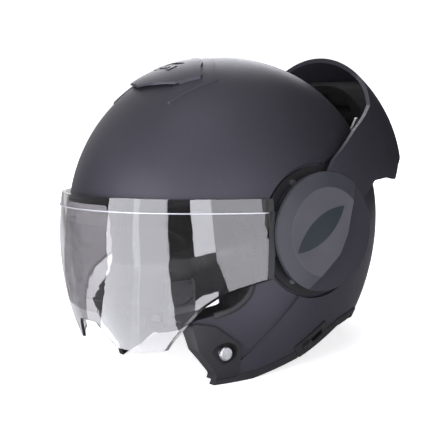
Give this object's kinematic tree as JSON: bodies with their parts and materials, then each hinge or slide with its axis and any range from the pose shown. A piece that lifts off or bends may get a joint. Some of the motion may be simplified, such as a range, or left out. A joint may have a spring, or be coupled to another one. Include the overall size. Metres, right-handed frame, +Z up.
{
  "type": "modular motorcycle helmet",
  "caption": "Flip-over modular helmet with its chin bar parked behind the shell, clear visor, drop-down sun visor, vents, lining and ratchet strap.",
  "frame": {"origin": "on the surface the helmet stands on, under the middle of its bounding box", "axes": "+Z up, -Y the way the wearer faces, +X to the wearer's left"},
  "size_m": [0.258, 0.3166, 0.249],
  "materials": {
    "matte_shell": "matt anthracite paint with a fine metallic flake over moulded shell",
    "black_rubber": "matt black rubber edging",
    "black_plastic": "fine textured black moulding",
    "cover_grey": "satin mid grey moulding",
    "slate_inlay": "dark slate satin inlay",
    "clear_visor": "clear polycarbonate, hard coated",
    "clear_insert": "clear anti-fog insert with a silicone edge",
    "smoke_lens": "smoked polycarbonate",
    "foam": "black expanded polystyrene bead foam",
    "lining_fabric": "knitted lining over foam",
    "strap_webbing": "woven black webbing",
    "steel": "plain steel",
    "pivot_polymer": "smooth acetal"
  },
  "bodies": {
    "shell": {"outer_shell": "matte_shell", "base_trim": "black_rubber", "brow_seal": "black_rubber", "eps_liner": "foam", "crown_pad": "lining_fabric", "neck_roll": "lining_fabric", "strap_anchors": "steel", "base_screws": "steel", "buckle_tongue": "pivot_polymer", "buckle_body": "steel", "buckle_pin": "steel", "sun_visor_pins": "steel", "sun_lever_housing": "black_plastic", "top_vent": "matte_shell", "cheek_pad_left": "lining_fabric", "cheek_pad_right": "lining_fabric", "strap_left": "strap_webbing", "strap_right": "strap_webbing", "latch_block_left": "black_plastic", "latch_block_right": "black_plastic", "striker_stud_left": "steel", "striker_stud_right": "steel", "pivot_base_left": "black_plastic", "pivot_base_right": "black_plastic"},
    "visor": {"visor": "clear_visor", "antifog_lens": "clear_insert", "visor_arm_left": "black_plastic", "visor_arm_right": "black_plastic"},
    "sun_visor": {"sun_visor": "smoke_lens"},
    "sun_lever": {"sun_lever": "black_plastic"},
    "top_vent_slider": {"top_vent_slider": "black_plastic"},
    "pivot_carriers": {"pivot_carrier_left": "pivot_polymer", "pivot_carrier_right": "pivot_polymer"},
    "chin_bar": {"chin_bar": "matte_shell", "chin_bar_liner": "foam", "chin_vent": "black_plastic", "release_housing": "black_plastic", "pivot_cover_left": "cover_grey", "pivot_cover_right": "cover_grey", "cover_inlay_left": "slate_inlay", "cover_inlay_right": "slate_inlay", "latch_guide_left": "black_plastic", "latch_guide_right": "black_plastic"},
    "chin_vent_shutter": {"chin_vent_shutter": "black_plastic"},
    "release_button": {"release_button": "black_plastic"},
    "latch_pawls": {"latch_pawl_left": "steel", "latch_pawl_right": "steel"},
    "buckle_lever": {"buckle_lever": "steel"}
  },
  "joints": [
    {"name": "visor_hinge", "type": "hinge", "parent": "shell", "child": "visor", "pos_m": [0, -0.00485, 0.10731], "axis": [-1, 0, 0], "range_deg": [0, 47]},
    {"name": "carrier_slide", "type": "slide", "parent": "shell", "child": "pivot_carriers", "axis": [0, -0.9661, -0.2583], "range_m": [0, 0.0226]},
    {"name": "chin_bar_swing", "type": "hinge", "parent": "pivot_carriers", "child": "chin_bar", "pos_m": [0, -0.00485, 0.10731], "axis": [1, 0, 0], "range_deg": [0, 180]},
    {"name": "sun_visor_hinge", "type": "hinge", "parent": "shell", "child": "sun_visor", "pos_m": [0, -0.01202, 0.11265], "axis": [1, 0, 0], "range_deg": [0, 36]},
    {"name": "sun_lever_slide", "type": "slide", "parent": "shell", "child": "sun_lever", "axis": [0, 0.9073, 0.4206], "range_m": [0, 0.012]},
    {"name": "top_vent_slide", "type": "slide", "parent": "shell", "child": "top_vent_slider", "axis": [0, 0.9732, 0.2299], "range_m": [0, 0.008]},
    {"name": "chin_vent_slide", "type": "slide", "parent": "chin_bar", "child": "chin_vent_shutter", "axis": [1, 0, 0], "range_m": [0, 0.007]},
    {"name": "release_press", "type": "slide", "parent": "chin_bar", "child": "release_button", "axis": [0, -0.8609, -0.5088], "range_m": [0, 0.003], "stiffness_N_per_m": 600},
    {"name": "latch_pawl_slide", "type": "slide", "parent": "chin_bar", "child": "latch_pawls", "axis": [0, 0.7646, -0.6445], "range_m": [0, 0.003]},
    {"name": "buckle_lever_hinge", "type": "hinge", "parent": "shell", "child": "buckle_lever", "pos_m": [-0.04573, -0.0445, 0.02181], "axis": [0, 0.9844, -0.1759], "range_deg": [0, 60]}
  ],
  "couplings": [
    {"joint": "carrier_slide", "follows": "chin_bar_swing", "m_per_rad": 0.0071938},
    {"joint": "sun_lever_slide", "follows": "sun_visor_hinge", "m_per_rad": 0.019099},
    {"joint": "latch_pawl_slide", "follows": "release_press", "ratio": 1}
  ]
}
